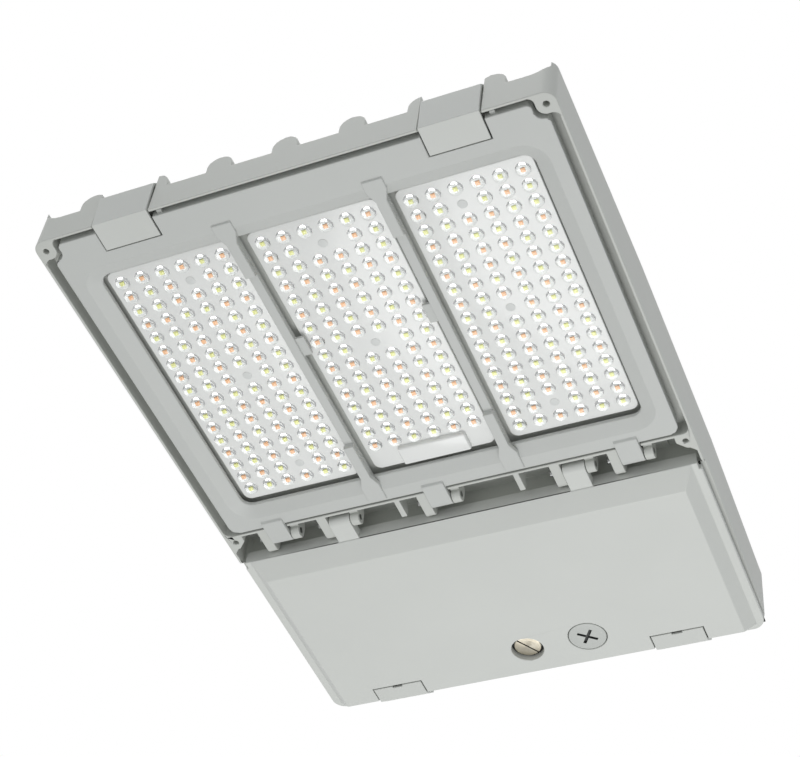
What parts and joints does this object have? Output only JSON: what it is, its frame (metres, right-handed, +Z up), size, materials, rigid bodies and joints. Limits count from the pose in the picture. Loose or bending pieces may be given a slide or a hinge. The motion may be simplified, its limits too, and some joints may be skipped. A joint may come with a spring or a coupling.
{
  "type": "shoebox area light",
  "caption": "Pole-mounted shoebox area light: ribbed die-cast housing, lens window frame and gear cover hinged under it, sprung clips, lock and bolt-on mounting pad.",
  "frame": {"origin": "centre of the mounting pad on the roof, on its upper face", "axes": "+Z up out of the mounting pad, +X to the right seen from below at the lens end, +Y from the lens end to the gear end"},
  "size_m": [0.437, 0.608, 0.0742],
  "materials": {
    "housing": "fine-textured light grey powder coat on die-cast aluminium",
    "frame_coat": "light grey powder coat on die-cast aluminium",
    "seal_rubber": "matt black silicone rubber",
    "lens_plastic": "white-backed moulded acrylic lenses",
    "board_white": "white solder mask on a metal-core board",
    "connector_white": "off-white moulded nylon",
    "screw_steel": "plain zinc-plated steel",
    "cover_coat": "light grey powder coat on die-cast aluminium",
    "lock_brass": "worn nickel plate over brass",
    "plug_plastic": "moulded light grey nylon",
    "clip_coat": "light grey powder coat on bent steel",
    "clip_steel": "plain stainless steel",
    "tray_steel": "bright galvanised steel sheet",
    "driver_case": "white enamelled aluminium case, potted",
    "surge_case": "black potted plastic case",
    "terminal_plastic": "ivory moulded nylon"
  },
  "bodies": {
    "casting": {"housing": "housing", "lens_plate_left": "lens_plastic", "lens_plate_middle": "lens_plastic", "lens_plate_right": "lens_plastic", "lens_seal_left": "seal_rubber", "lens_seal_middle": "seal_rubber", "lens_seal_right": "seal_rubber", "led_board_left": "board_white", "led_board_middle": "board_white", "led_board_right": "board_white", "board_connector": "connector_white", "module_screws": "screw_steel", "front_clip_pins": "clip_steel", "rear_clip_pins": "clip_steel", "frame_hinge_pins": "clip_steel", "cover_hinge_pins": "clip_steel", "gear_tray": "tray_steel", "tray_screws": "screw_steel", "driver_left": "driver_case", "driver_right": "driver_case", "driver_screws": "screw_steel", "surge_protector": "surge_case", "terminal_block": "terminal_plastic", "entry_grommet": "seal_rubber"},
    "window_frame": {"optical_frame": "frame_coat", "frame_gasket": "seal_rubber"},
    "cover": {"gear_cover": "cover_coat", "cover_gasket": "seal_rubber", "access_plug": "plug_plastic", "access_plug_seal": "seal_rubber"},
    "lock": {"lock_head": "lock_brass", "lock_cam": "clip_steel", "lock_nut": "lock_brass"},
    "clip_front_left": {"front_clip_left": "clip_coat"},
    "clip_front_right": {"front_clip_right": "clip_coat"},
    "clip_rear_left": {"rear_clip_left": "clip_coat"},
    "clip_rear_right": {"rear_clip_right": "clip_coat"}
  },
  "joints": [
    {"name": "frame_hinge", "type": "hinge", "parent": "casting", "child": "window_frame", "pos_m": [0, -0.117, -0.056], "axis": [1, 0, 0], "range_deg": [0, 70]},
    {"name": "cover_hinge", "type": "hinge", "parent": "casting", "child": "cover", "pos_m": [0, -0.117, -0.056], "axis": [-1, 0, 0], "range_deg": [0, 65]},
    {"name": "lock_turn", "type": "hinge", "parent": "cover", "child": "lock", "pos_m": [0, 0.074, -0.068], "axis": [0, 0, 1], "range_deg": [0, 180]},
    {"name": "front_clip_left_turn", "type": "hinge", "parent": "casting", "child": "clip_front_left", "pos_m": [-0.138, -0.468, -0.022], "axis": [-1, 0, 0], "range_deg": [0, 110]},
    {"name": "front_clip_right_turn", "type": "hinge", "parent": "casting", "child": "clip_front_right", "pos_m": [0.138, -0.468, -0.022], "axis": [-1, 0, 0], "range_deg": [0, 110]},
    {"name": "rear_clip_left_turn", "type": "hinge", "parent": "casting", "child": "clip_rear_left", "pos_m": [-0.138, 0.1214, -0.03], "axis": [1, 0, 0], "range_deg": [0, 110]},
    {"name": "rear_clip_right_turn", "type": "hinge", "parent": "casting", "child": "clip_rear_right", "pos_m": [0.138, 0.1214, -0.03], "axis": [1, 0, 0], "range_deg": [0, 110]}
  ]
}
